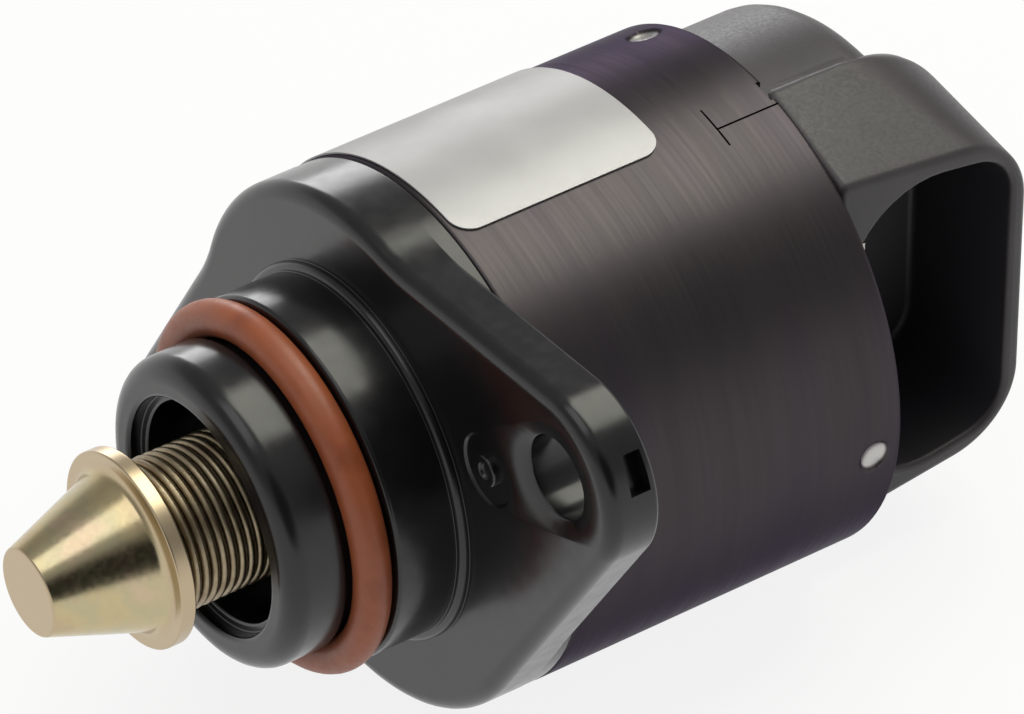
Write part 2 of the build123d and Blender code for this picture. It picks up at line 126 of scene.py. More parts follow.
def rounded(corners, steps=6):
    """A line through (a, b, rounding) corners with each corner turned into an arc.

    With half the angle between a corner's sides called h, the arc starts rounding / tan(h) from
    the corner, its centre lies rounding / sin(h) along the bisector, and its points turn evenly
    from the first touching point to the second about that centre."""
    corners = np.asarray(corners, float)
    here, rounding = corners[:, :2], corners[:, 2:]
    before = np.roll(here, 1, 0) - here
    after = np.roll(here, -1, 0) - here
    before /= np.linalg.norm(before, axis=1, keepdims=True)
    after /= np.linalg.norm(after, axis=1, keepdims=True)
    half = np.arccos(np.clip((before * after).sum(1, keepdims=True), -1, 1)) / 2
    cut = rounding / np.tan(half)
    bisector = before + after
    bisector /= np.maximum(np.linalg.norm(bisector, axis=1, keepdims=True), 1e-9)
    centre = bisector * rounding / np.sin(half)
    turn = np.maximum(np.pi - 2 * half, 1e-9)
    share = np.linspace(0, 1, steps + 1)
    first = (np.sin((1 - share) * turn) / np.sin(turn))[..., None]
    last = (np.sin(share * turn) / np.sin(turn))[..., None]
    arc = centre[:, None] + first * (before * cut - centre)[:, None] + last * (after * cut - centre)[:, None]
    guard = cut + GUARD * (rounding > 0)
    line = np.concatenate([(before * guard)[:, None], arc, (after * guard)[:, None]], 1) + here[:, None]
    line = line.reshape(-1, 2)
    moved = np.linalg.norm(np.diff(line, axis=0), axis=1) > 1e-6
    return line[np.concatenate([[True], moved])]


def on_clock(station, radius, clock):
    """Points from stations, radii and clock angles: x is the station, y is minus the radius times
    the cosine of the angle, and z is the radius times its sine."""
    angle = np.radians(clock)
    return np.stack(np.broadcast_arrays(station, -radius * np.cos(angle), radius * np.sin(angle)), -1)


def turned(name, corners, closed=True, columns=128, steps=6, centre=(0, 0, 0)):
    """The rounded profile carried round the axis, or round a line parallel to it through a centre."""
    line = rounded(corners, steps)
    clock = np.linspace(0, 360, columns, endpoint=False)
    points = on_clock(line[:, :1], line[:, 1:], clock[None, :]) + np.asarray(centre, float)
    return piece_from_grid(name, points, wrap_rows=closed)


# %% [markdown]
# ## Cutting and joining
#
# Holes and slits are easiest as a second closed solid that is taken away, just as a drill or a
# mould pin makes them. Blender's Boolean does that. The result is baked into the mesh at
# once, so no modifier is left for a later step to trip over.

# %% Boolean and prism helpers


def combine(piece, other, operation="DIFFERENCE"):
    """Take another closed piece away from a piece, or join it on, and delete the other one."""
    step = piece.modifiers.new("combine", "BOOLEAN")
    step.operation = operation
    step.solver = "MANIFOLD"
    step.object = other
    graph = bpy.context.evaluated_depsgraph_get()
    mesh = bpy.data.meshes.new_from_object(piece.evaluated_get(graph))
    piece.modifiers.clear()
    piece.data = mesh
    bpy.data.objects.remove(other)
    tidy(mesh)


def prism(name, first, last):
    """A closed solid between two like outlines, each an array of points, with a fan on either end."""
    middle = [np.broadcast_to(outline.mean(0), outline.shape) for outline in (first, last)]
    return piece_from_grid(name, np.stack([middle[0], first, last, middle[1]]))


def radial_block(name, clock, station, along, across, low, high):
    """A block that stands on the axis at a clock angle: along it in x, across it sideways, and from
    a low to a high radius. Sideways offsets count in the direction of growing clock angle."""
    angle = np.radians(clock)
    outward = np.array([0, -np.cos(angle), np.sin(angle)])
    sideways = np.array([0, np.sin(angle), np.cos(angle)])
    x = np.array([along[0], along[1], along[1], along[0]])[:, None] + station
    s = np.array([across[0], across[0], across[1], across[1]])[:, None]
    ring = x * np.array([1, 0, 0]) + s * sideways
    return prism(name, ring + low * outward, ring + high * outward)


# %% [markdown]
# ## The flange's outline
#
# The flange that is bolted to the throttle body is a round plate with two lobes. The near lobe has
# a straight lower side and a slightly waisted upper side; the far one is slimmer, with a waist on
# both sides. Each stretch is an arc or a straight line that leaves the last one without a corner,
# so its outward normal is known as well. With the normal, any inset outline is just a step along
# it, which is how the plate's rounded edges are made.

# %% Outline of the flange
CAN_RADIUS = 17.5
BOLT_REACH = 24.2
BOLT_CLOCK = 29.5
NEAR_TIP, FAR_TIP = 6.1, 4.7
WAIST, WAIST_FILLET = 16.7, 16.0


def unit(clock):
    """Unit vectors in the outline's own plane, at angles in degrees."""
    angle = np.radians(clock)
    return np.stack([np.cos(angle), np.sin(angle)], -1)


def arc_part(centre, radius, start, end, count, side=1):
    """Points on an arc and their outward normals, which point at the centre where side is -1."""
    normal = unit(np.linspace(start, end, count, endpoint=False))
    return centre + radius * normal, side * normal


def line_part(start, end, clock, count):
    """Points along a straight line and its one normal, repeated."""
    share = np.linspace(0, 1, count, endpoint=False)[:, None]
    return start + (end - start) * share, np.broadcast_to(unit(clock), (count, 2))


def side_clock(body, tip):
    """How far a lobe's straight side turns from its bolt: a line that touches a circle of radius R about
    the axis and a tip of radius r at the bolt has its normal at arccos((R - r) / reach)."""
    return np.degrees(np.arccos((body - tip) / BOLT_REACH))


def waist_hollow(clock, side):
    """Centre and clock angle of the fillet between the round body and a waisted side with its normal at
    the clock angle. The fillet touches the side from outside, so its centre lies WAIST + fillet from
    the axis along that normal, and CAN_RADIUS + fillet from the axis in all."""
    along = np.sqrt((CAN_RADIUS + WAIST_FILLET) ** 2 - (WAIST + WAIST_FILLET) ** 2)
    centre = (WAIST + WAIST_FILLET) * unit(clock) + along * unit(clock - 90 * side)
    turn = np.degrees(np.arctan2(WAIST + WAIST_FILLET, along))
    return centre, clock - side * (90 - turn)


def flange_outline():
    """The closed outline and its normals, from the near tip round through the far one."""
    near, far = BOLT_REACH * unit(BOLT_CLOCK), BOLT_REACH * unit(BOLT_CLOCK + 180)
    low = BOLT_CLOCK - side_clock(CAN_RADIUS, NEAR_TIP)
    high = BOLT_CLOCK + side_clock(WAIST, NEAR_TIP)
    first = BOLT_CLOCK + 180 - side_clock(WAIST, FAR_TIP)
    last = BOLT_CLOCK + 180 + side_clock(WAIST, FAR_TIP)
    near_hollow, near_clock = waist_hollow(high, 1)
    first_hollow, first_clock = waist_hollow(first, -1)
    last_hollow, last_clock = waist_hollow(last, 1)
    parts = [
        arc_part(near, NEAR_TIP, low, high, 44),
        line_part(near + NEAR_TIP * unit(high), near_hollow - WAIST_FILLET * unit(high), high, 14),
        arc_part(near_hollow, WAIST_FILLET, high + 180, near_clock + 180, 8, -1),
        arc_part(0, CAN_RADIUS, near_clock, first_clock, 30),
        arc_part(first_hollow, WAIST_FILLET, first_clock + 180, first + 180, 8, -1),
        line_part(first_hollow - WAIST_FILLET * unit(first), far + FAR_TIP * unit(first), first, 14),
        arc_part(far, FAR_TIP, first, last, 36),
        line_part(far + FAR_TIP * unit(last), last_hollow - WAIST_FILLET * unit(last), last, 14),
        arc_part(last_hollow, WAIST_FILLET, last + 180, last_clock + 180, 8, -1),
        arc_part(0, CAN_RADIUS, last_clock, low + 360, 26),
        line_part(CAN_RADIUS * unit(low), near + NEAR_TIP * unit(low), low, 16),
    ]
    points, normals = zip(*parts)
    return np.concatenate(points), np.concatenate(normals)


outline, outline_normal = flange_outline()
print("outline points", len(outline), "widest", np.linalg.norm(outline, axis=1).max())

# %% [markdown]
# ## The front housing
#
# One black moulding carries the nose, the groove for the seal, the flange and the spigot that the
# can is pushed on. It could be modelled as a lathe part with a plate joined on. Here it is one
# grid: each column follows one point of the flange's outline, at that point's own clock angle, and
# its rows run along the turned profile until they reach the flange, then round the outline's
# edges, and back to the start. So the nose and the plate share every edge and no seam shows.

# %% Front housing: rows of the grid
FLANGE_THICKNESS = 3.6
FRONT_EDGE, REAR_EDGE = 1.0, 0.3
FRONT_FACE_RADIUS = 13.2
housing_profile = [
    (0, FRONT_FACE_RADIUS, 0), (0, 12.55, 0.05), (-0.6, 12.55, 0.42), (-0.6, 12.0, 0.05),
    (-4.85, 12.0, 0.3), (-4.85, 9.85, 0.2), (-7.5, 9.85, 0.15), (-7.5, 10.3, 0.15),
    (-11.5, 10.3, 1.4), (-11.5, 7.9, 0.3), (-10.5, 7.9, 0.1), (-10.5, 7.3, 0.2),
    (-4.5, 7.3, 0.2), (-4.5, 4.62, 0), (1.5, 4.62, 0), (1.5, 5.05, 0), (2.5, 5.05, 0),
    (2.5, 9.52, 0), (7.5, 9.52, 0.2), (7.5, 16.65, 0.3), (4.8, 16.65, 0), (4.8, 17.48, 0.1),
    (FLANGE_THICKNESS, 17.48, 0),
]
profile = rounded(housing_profile, 7)
bearing_clock = np.degrees(np.arctan2(outline[:, 1], outline[:, 0]))
turned_rows = on_clock(profile[:, :1], profile[:, 1:], bearing_clock[None, :])
print("profile points", len(profile))

# %% Front housing: the flange's rounded edges
ARC_POINTS = 8
FULL_EDGE_FROM, LEAST_SHARE = 0.8, 0.06
REAR_GUARD, FRONT_GUARD = 1.1, 1.03
quarter = np.radians(np.linspace(0, 90, ARC_POINTS))
# Where the outline lies on the can's round, the can follows flush and the rear rounding fades out.
standing_out = np.linalg.norm(outline, axis=1) - CAN_RADIUS
rear_share = np.clip(standing_out / FULL_EDGE_FROM, LEAST_SHARE, 1)[None, :]
rear_inset = REAR_EDGE * np.concatenate([[REAR_GUARD], 1 - np.sin(quarter), [0]])[:, None] * rear_share
rear_depth = REAR_EDGE * np.concatenate([[0], 1 - np.cos(quarter), [REAR_GUARD]])[:, None] * rear_share
front_inset = FRONT_EDGE * np.concatenate([[0], 1 - np.cos(quarter), [FRONT_GUARD]])[:, None]
front_depth = FRONT_EDGE * np.concatenate([[FRONT_GUARD], 1 - np.sin(quarter), [0]])[:, None]
inset = np.concatenate([rear_inset, front_inset + 0 * rear_share])
station = np.concatenate([FLANGE_THICKNESS - rear_depth, front_depth + 0 * rear_share])
edge = outline[None] - inset[..., None] * outline_normal[None]
edge_rows = np.stack([station, -edge[..., 0], edge[..., 1]], -1)
# Five more rows across the plate's side keep its quads short, so that its shading stays even.
rear_rows, front_rows = edge_rows[:len(rear_inset)], edge_rows[len(rear_inset):]
across_side = np.linspace(0, 1, 7)[1:-1, None, None]
side_rows = rear_rows[-1] + (front_rows[0] - rear_rows[-1]) * across_side
housing_rows = np.concatenate([turned_rows, rear_rows, side_rows, front_rows])
housing = piece_from_grid("housing_moulding", housing_rows, wrap_rows=True)
print("housing grid", len(housing_rows), "rows of", len(outline))

# %% [markdown]
# ## Holes and marks in the flange
#
# Each bolt hole has a wide, shallow mouth on its front. A small pocket in the near tip is where the
# moulding was gated. By the hole, a dished stub in a shallow round recess is the mark of an ejector
# pin. Holes, pocket and recess are cut with turned and square solids; the stub is joined on.

# %% Bolt holes
HOLE_RADIUS, MOUTH_RADIUS, MOUTH_DEPTH = 2.75, 3.75, 0.45
BEYOND = 0.3
mouth_slope = (MOUTH_RADIUS - HOLE_RADIUS) / MOUTH_DEPTH
hole_profile = [
    (-BEYOND, 0, 0), (-BEYOND, MOUTH_RADIUS + BEYOND * mouth_slope, 0), (MOUTH_DEPTH, HOLE_RADIUS, 0.15),
    (FLANGE_THICKNESS + 1, HOLE_RADIUS, 0), (FLANGE_THICKNESS + 1, 0, 0),
]
for number, clock in enumerate((BOLT_CLOCK, BOLT_CLOCK + 180)):
    hole_centre = on_clock(0.0, BOLT_REACH, clock)
    combine(housing, turned(f"hole_{number}", hole_profile, closed=False, columns=56, steps=4, centre=hole_centre))
print("holes at", BOLT_REACH, "mm from the axis")

# %% Gate pocket and ejector mark
TIP_REACH, POCKET_DEPTH, MARK_REACH = BOLT_REACH + NEAR_TIP, 1.2, 16.5
pocket_along, pocket_across = (1.7, 3.1), (-1.3, 1.3)
pocket_floor = TIP_REACH - POCKET_DEPTH
combine(housing, radial_block("pocket", BOLT_CLOCK, 0, pocket_along, pocket_across, pocket_floor, TIP_REACH + 1))
mark_centre = on_clock(0.0, MARK_REACH, BOLT_CLOCK)
recess_profile = [(-BEYOND, 0, 0), (-BEYOND, 2.75, 0), (0.16, 2.3, 0.12), (0.16, 0, 0)]
combine(housing, turned("recess", recess_profile, closed=False, columns=56, steps=4, centre=mark_centre))
stub_profile = [
    (0.6, 0, 0), (0.6, 1.05, 0), (-0.2, 1.05, 0.14), (-0.2, 0.6, 0.12), (0.05, 0.45, 0.1), (0.05, 0, 0),
]
combine(housing, turned("stub", stub_profile, closed=False, columns=40, steps=4, centre=mark_centre), "UNION")
smooth(housing)

# %% [markdown]
# ## The seal, the pintle and its spring
#
# The orange-brown seal is a ring of round rubber cord: a circle carried round the groove. The
# pintle is turned from bar, with a cone, a collar and a small root rounding between them. The
# spring is a wire: a circle carried along a helix, whose clock angle falls evenly as its station
# grows. Its ends are closed by shrinking the circle to a point.

# %% Seal ring and pintle
SEAL_STATION, SEAL_RADIUS, CORD_RADIUS = -6.175, 11.1, 1.2
cord_round = np.radians(np.linspace(0, 360, 28, endpoint=False))[:, None]
seal_clock = np.linspace(0, 360, 160, endpoint=False)[None, :]
seal_points = on_clock(
    SEAL_STATION + CORD_RADIUS * np.cos(cord_round), SEAL_RADIUS + CORD_RADIUS * np.sin(cord_round), seal_clock
)
seal = piece_from_grid("seal_cord", seal_points, wrap_rows=True)
smooth(seal)
pintle_profile = [
    (-23.8, 0, 0), (-23.8, 2.9, 0.22), (-16.9, 5.3, 0.7), (-16.9, 6.5, 0.12), (-15.8, 6.5, 0.2),
    (-15.8, 4.15, 0), (-14.0, 4.15, 0.2), (-14.0, 2.52, 0), (-19.5, 2.52, 0), (-19.5, 0, 0),
]
pintle = turned("pintle_cone", pintle_profile, closed=False, columns=144)
smooth(pintle)

# %% Pintle spring
COILS, WIRE, MEAN_RADIUS = 15.4, 0.29, 4.7
SPRING_FRONT, SPRING_REAR = -15.48, -5.32
COIL_POINTS, WIRE_POINTS = 760, 14
share = np.linspace(0, 1, COIL_POINTS)[:, None]
around = np.radians(np.linspace(0, 360, WIRE_POINTS, endpoint=False))[None, :]
thick = np.ones_like(share)
thick[[0, -1]] = 0
coil_points = on_clock(
    SPRING_FRONT + (SPRING_REAR - SPRING_FRONT) * share + WIRE * thick * np.sin(around),
    MEAN_RADIUS + WIRE * thick * np.cos(around),
    90 - 360 * COILS * share + 0 * around,
)
spring = piece_from_grid("coil_spring", coil_points)
smooth(spring, crease=60)

# %% [markdown]
# ## The can
#
# The motor's can is rolled from sheet steel. Its seam is locked near the connector, where a slit
# runs in from the rim to a short cross slit, and three punched dents stake the can onto the cover.
# The wall is a grid round the axis with closer rows and columns near the dents. A dent is where a
# ball of radius b, whose centre stands off the surface, would sink in: the radius there is the
# ball's centre minus the square root of b squared less the distance squared. The slits and the rim
# notch are then cut out.

# %% Can wall with its stake dents
CAN_FRONT, CAN_REAR, CAN_WALL = 4.8, 29.0, 0.8
STAKE_STATION, STAKE_BALL, STAKE_DEPTH = 27.0, 1.6, 0.5
STAKE_CLOCKS = np.array([-4.6, 115.4, 235.4])
fine = np.arange(-1.4, 1.401, 0.14)
DEGREES_PER_RADIAN = 57.3
can_inner = CAN_RADIUS - CAN_WALL
can_stations = [8.0, 12.0, 16.0, 20.0, 23.5, *(STAKE_STATION + fine)]
can_corners = [(CAN_FRONT, CAN_RADIUS, 0.25)] + [(x, CAN_RADIUS, 0) for x in can_stations]
can_corners += [(CAN_REAR, CAN_RADIUS, 0.3), (CAN_REAR, can_inner, 0.2), (CAN_FRONT, can_inner, 0.1)]
can_line = rounded(can_corners, 5)
near_stakes = [clock + fine / CAN_RADIUS * DEGREES_PER_RADIAN for clock in STAKE_CLOCKS]
can_clock = np.concatenate([np.arange(0, 360, 2.5), *near_stakes])
can_clock = np.unique(np.round(can_clock % 360, 3))
can_x, can_r = can_line[:, :1], can_line[:, 1:] + 0 * can_clock[None, :]
for clock in STAKE_CLOCKS:
    sideways = CAN_RADIUS * np.radians((can_clock[None, :] - clock + 180) % 360 - 180)
    square = np.clip((can_x - STAKE_STATION) ** 2 + sideways**2, 0, STAKE_BALL**2)
    dented = CAN_RADIUS - STAKE_DEPTH + STAKE_BALL - np.sqrt(STAKE_BALL**2 - square)
    can_r = np.where(can_r > CAN_RADIUS - CAN_WALL / 2, np.minimum(can_r, dented), can_r)
can = piece_from_grid("can_wall", on_clock(can_x, can_r, can_clock[None, :]), wrap_rows=True)
print("can grid", can_r.shape)

# %% Seam slits and rim notch
SEAM_CLOCK, NOTCH_CLOCK = 76.0, 80.1
SEAM_START, SEAM_FLOOR = CAN_REAR - 4.8, CAN_RADIUS - 0.2
INSIDE_CAN, OUTSIDE_CAN = 16, 18.5
slit_length, slit_width, bar_length = (SEAM_START, CAN_REAR + 1), (-0.07, 0.07), (-1.4, 1.8)
notch_depth, notch_width = (-0.45, 1), (-0.85, 0.85)
combine(can, radial_block("slit", SEAM_CLOCK, 0, slit_length, slit_width, SEAM_FLOOR, OUTSIDE_CAN))
combine(can, radial_block("bar", SEAM_CLOCK, SEAM_START, slit_width, bar_length, SEAM_FLOOR, OUTSIDE_CAN))
combine(can, radial_block("rim_notch", NOTCH_CLOCK, CAN_REAR, notch_depth, notch_width, INSIDE_CAN, OUTSIDE_CAN))
smooth(can)

# %% [markdown]
# ## Marks for the finishes
#
# Some finishes change from place to place: the punch rubbed the can bright in its dents, and the
# plating on the pintle is warmer and duller on the collar and the tip. A finish can't know where
# that is, so each point of the mesh carries a number from 0 to 1, and the finish reads it by name.

# %% Bright dents and blushed plating


def places(piece):
    """The points of a piece's mesh, in mm."""
    flat = np.empty(3 * len(piece.data.vertices), np.float32)
    piece.data.vertices.foreach_get("co", flat)
    return flat.reshape(-1, 3) / MM


def mark(piece, name, share):
    """Store one number for each point of a piece's mesh."""
    layer = piece.data.attributes.new(name, "FLOAT", "POINT")
    layer.data.foreach_set("value", np.clip(share, 0, 1).astype(np.float32))
    print(piece.name, name, "marked points", int((share > 0.5).sum()))


stake_centres = on_clock(STAKE_STATION, CAN_RADIUS - STAKE_DEPTH, STAKE_CLOCKS)
from_stake = np.linalg.norm(places(can)[:, None] - stake_centres[None], axis=2).min(1)
RUBBED_REACH, RUBBED_FADE = 1.15, 0.35
mark(can, "rubbed", (RUBBED_REACH - from_stake) / RUBBED_FADE)
COLLAR_FROM, COLLAR_FADE, TIP_UP_TO, TIP_FADE = -17.3, 0.5, -23.6, 0.15
pintle_x = places(pintle)[:, 0]
on_collar, on_tip = (pintle_x - COLLAR_FROM) / COLLAR_FADE, (TIP_UP_TO - pintle_x) / TIP_FADE
mark(pintle, "blush", np.maximum(on_collar, on_tip))

# %% [markdown]
# ## The label
#
# A bare sticker lies round the top of the can. It is a thin sheet: one parameter runs round the
# can, the other across its length, down the edge and back underneath. Near its two ends the sheet
# gets shorter along a quarter circle, which rounds its corners.

# %% Label sheet
LABEL_FRONT, LABEL_REAR = 5.2, 20.4
LABEL_LOW, LABEL_HIGH = 76.5, 160.0
LABEL_INNER, LABEL_OUTER, LABEL_CORNER = 17.53, 17.64, 1.5
corner_turn = LABEL_CORNER * (1 - np.cos(np.radians(np.linspace(0, 90, 9))))
arc_length = np.radians(LABEL_HIGH - LABEL_LOW) * LABEL_OUTER
between = np.linspace(LABEL_CORNER, arc_length - LABEL_CORNER, 40)[1:-1]
run = np.concatenate([corner_turn, between, arc_length - corner_turn[::-1]])
from_end = np.minimum(np.minimum(run, arc_length - run), LABEL_CORNER)
shorter = LABEL_CORNER - np.sqrt(LABEL_CORNER**2 - (LABEL_CORNER - from_end) ** 2)
run = np.concatenate([run[:1], run, run[-1:]])[:, None]
shorter = np.concatenate([shorter[:1], shorter, shorter[-1:]])[:, None]
LABEL_COLUMNS = 24
across = np.linspace(0, 1, LABEL_COLUMNS)
across = np.concatenate([across, across[::-1]])[None, :]
top = np.repeat([1.0, 0.0], LABEL_COLUMNS)[None, :] * np.ones_like(run)
top[[0, -1]] = 0
label_x = LABEL_FRONT + shorter + (LABEL_REAR - LABEL_FRONT - 2 * shorter) * across
label_r = LABEL_INNER + (LABEL_OUTER - LABEL_INNER) * top
label_clock = LABEL_LOW + np.degrees(run / LABEL_OUTER)
label = piece_from_grid("label_sheet", on_clock(label_x, label_r, label_clock + 0 * across))
smooth(label)

# %% [markdown]
# ## The rear cover
#
# The cover closes the can and carries the plug's socket. It is a moulded disc with a drafted,
# round-cornered shroud standing across its back, and the socket is hollowed into the shroud with a
# softened lip. The shroud and the hollow are outlines carried along the way the mould opens: rows
# of inset and height, where the inset grows with the draft and turns over at each rounded edge.
# Towards the disc the shroud swells evenly to a crown, so that its flat top runs out on the disc's
# round, and behind the crown a bevel falls to its back. The mean over a short stretch softens the
# crown. Disc and shroud are joined, and the hollow is taken out of both. The walls of the socket get
# a mark too, which paints shade on them: inside the hollow they are drawn darker than the outside.

# %% Disc of the cover
MOUTH, SHROUD_BACK, CROWN = -10.0, 1.2, -2.2
COVER_REAR, COVER_RADIUS = 38.0, 16.1
disc_profile = [
    (28.1, 0, 0), (28.1, 4.0, 0), (27.5, 4.0, 0), (27.5, 6.02, 0), (24.0, 6.02, 0), (24.0, 16.63, 0.3),
    (CAN_REAR, 16.63, 0), (CAN_REAR, COVER_RADIUS, 0), (COVER_REAR, COVER_RADIUS, 2.2), (COVER_REAR, 0, 0),
]
cover = turned("cover_moulding", disc_profile, closed=False, columns=144)
# On the mouth's side the disc ends just past the crown, where the shroud takes over.
TRIM_REAR, TRIM_HALF, OVERLAP = 46, 20, 0.1
trim_x = np.array([CAN_REAR, TRIM_REAR, TRIM_REAR, CAN_REAR])
trim_z = np.array([-TRIM_HALF, -TRIM_HALF, TRIM_HALF, TRIM_HALF])
trim = np.stack([trim_x, np.zeros(4), trim_z], -1)
combine(cover, prism("trim", trim + [0, CROWN - OVERLAP, 0], trim + [0, MOUTH - 10, 0]))
print("disc", len(cover.data.polygons), "faces")

# %% Outlines carried along the way a mould opens
SHROUD_FOOT, FOOT_ROUND, KINK = 29.04, 1.1, 33


def drawn(name, corners, inset, height, crown=None, swell=0, steps=10):
    """A rounded outline of (x, z, rounding) corners carried along y: row by row it moves in along its
    normals by the inset, and both ends close on the outline's middle. Where there is a crown, which
    is an outline with as many corners, each row first moves towards it by its share of swell."""
    line = rounded(corners, steps)
    tangent = np.roll(line, -1, 0) - np.roll(line, 1, 0)
    tangent /= np.linalg.norm(tangent, axis=1, keepdims=True)
    normal = np.stack([tangent[:, 1], -tangent[:, 0]], -1)
    normal *= np.sign((normal * (line - line.mean(0))).sum())
    inset, height = np.asarray(inset, float), np.asarray(height, float)
    rows = line[None] - inset[:, None, None] * normal[None]
    if crown:
        rows = rows + np.asarray(swell)[:, None, None] * (rounded(crown, steps) - line)[None]
    rows[[0, -1]] = line.mean(0)
    tall = np.broadcast_to(height[:, None], rows.shape[:2])
    return piece_from_grid(name, np.stack([rows[..., 0], tall, rows[..., 1]], -1))


def shroud_outline(foot, kink, rear, end, rounding):
    """Six corners that are alike above and below, from half heights at the foot and at the kink, and
    from the rear end's station, half height and rounding."""
    upper = [(SHROUD_FOOT, foot, FOOT_ROUND), (KINK, kink, 0), (rear, end, rounding)]
    lower = [(x, -z, turn) for x, z, turn in upper]
    return [lower[0], *upper, lower[2], lower[1]]


# %% Shroud
DRAFT = np.tan(np.radians(2.5))
BACK_EDGE, LIP, CROWN_ROUND, FLAT_FROM = 0.8, 0.45, 0.35, CROWN - 0.8
back_height = SHROUD_BACK - BACK_EDGE * (1 - np.sin(quarter[::-1]))
bevel_height = np.linspace(SHROUD_BACK - BACK_EDGE, FLAT_FROM, 18)[1:]
flat_height = np.linspace(FLAT_FROM, MOUTH + LIP, 12)[1:-1]
lip_height = MOUTH + LIP * (1 - np.sin(quarter))
wall_height = np.concatenate([back_height, bevel_height, flat_height, lip_height])
wall_inset = DRAFT * (SHROUD_BACK - wall_height)
wall_inset[:ARC_POINTS] += BACK_EDGE * (1 - np.cos(quarter[::-1]))
wall_inset[-ARC_POINTS:] += LIP * (1 - np.cos(quarter))
near_height = wall_height[None] + np.linspace(-CROWN_ROUND, CROWN_ROUND, 9)[:, None]
rising = (near_height - MOUTH) / (CROWN - MOUTH)
falling = (SHROUD_BACK - near_height) / (SHROUD_BACK - CROWN)
wall_swell = np.minimum(rising, falling).mean(0)
shroud = drawn(
    "shroud", shroud_outline(14.1, 13.57, 44.6, 12.0, 6.0),
    np.concatenate([[0], wall_inset, [0]]), np.concatenate([[SHROUD_BACK], wall_height, [MOUTH]]),
    shroud_outline(16.38, 16.38, 44.3, 16.38, 10.0), np.concatenate([[0], wall_swell, [0]]), steps=40,
)
combine(cover, shroud, "UNION")
print("shroud rows", len(wall_height))

# %% Socket
SOCKET_FLOOR, FLOOR_EDGE = 0.0, 0.5
socket_corners = [(30.6, -12.4, 6.0), (30.6, 12.4, 6.0), (42.9, 10.3, 3.3), (42.9, -10.3, 3.3)]
lip_turn = np.radians(np.linspace(8, 90, 7))
mouth_inset, mouth_height = -LIP * (1 - np.sin(lip_turn)), MOUTH + LIP * (1 - np.cos(lip_turn))
floor_inset = FLOOR_EDGE * (1 - np.cos(quarter))
floor_height = SOCKET_FLOOR - FLOOR_EDGE * (1 - np.sin(quarter))
hollow_inset = np.concatenate([[-LIP, -LIP], mouth_inset, floor_inset, [0]])
hollow_height = np.concatenate([[MOUTH - 1, MOUTH - 1], mouth_height, floor_height, [SOCKET_FLOOR]])
combine(cover, drawn("hollow", socket_corners, hollow_inset, hollow_height))
smooth(cover)

# %% Painted shade on the walls of the socket
SOCKET_FRONT, SOCKET_MIDDLE, SOCKET_REAR, SOCKET_HALF = 30.5, 36.7, 43, 12.5
SHADE_FROM, SHADE_FADE, LEAST_TURN = 0.2, 0.4, -0.3
cover_x, cover_y, cover_z = places(cover).T
facing = np.empty(3 * len(cover_x))
cover.data.vertices.foreach_get("normal", facing)
facing = facing.reshape(-1, 3)
turned_inwards = facing[:, 0] * (SOCKET_MIDDLE - cover_x) - facing[:, 2] * cover_z > LEAST_TURN
within = (cover_x > SOCKET_FRONT) & (cover_x < SOCKET_REAR) & (np.abs(cover_z) < SOCKET_HALF)
above_floor = cover_y < SOCKET_FLOOR + 0.1
down_from_mouth = (cover_y - MOUTH - SHADE_FROM) / SHADE_FADE
# The mark paints shade on the socket's walls: they are drawn darker from just below the mouth inwards.
mark(cover, "painted_socket_shade", np.where(within & above_floor & turned_inwards, down_from_mouth, 0))

# %% [markdown]
# ## Finishes
#
# Each finish is one Principled shader fed by noise on Object coordinates, so the pattern stays put
# on the part. A broad noise shifts the colour a little, because nothing real is even, and a finer
# one varies the gloss and bumps the surface. Stretching the noise along one axis gives the lines that
# a lathe tool or a rolling mill leaves: on a part that is round about X, noise that changes quickly
# along X and slowly across it draws rings.

# %% Noise and shades
EVEN, RINGS, BANDS, LINES = (1, 1, 1), (1, 0.03, 0.03), (1, 0.15, 0.15), (1, 0.02, 0.02)
WHITE = (1, 1, 1)


def noise(nodes, links, coordinates, stretch, per_metre, detail):
    """Noise on Object coordinates, stretched by a Mapping node, as many patches to the metre."""
    mapping = nodes.new("ShaderNodeMapping")
    mapping.inputs["Scale"].default_value = stretch
    links.new(coordinates, mapping.inputs["Vector"])
    texture = nodes.new("ShaderNodeTexNoise")
    texture.inputs["Scale"].default_value = per_metre
    texture.inputs["Detail"].default_value = detail
    links.new(mapping.outputs["Vector"], texture.inputs["Vector"])
    return texture.outputs["Fac"]


def shaded(nodes, links, source, stops):
    """A colour that follows a value between 0 and 1, from stops of (value, colour)."""
    ramp = nodes.new("ShaderNodeValToRGB")
    while len(ramp.color_ramp.elements) < len(stops):
        ramp.color_ramp.elements.new(0.5)
    for element, (stop, colour) in zip(ramp.color_ramp.elements, stops):
        element.position = stop
        element.color = (*colour, 1)
    links.new(source, ramp.inputs["Fac"])
    return ramp.outputs["Color"]


# %% Spots where a mark is


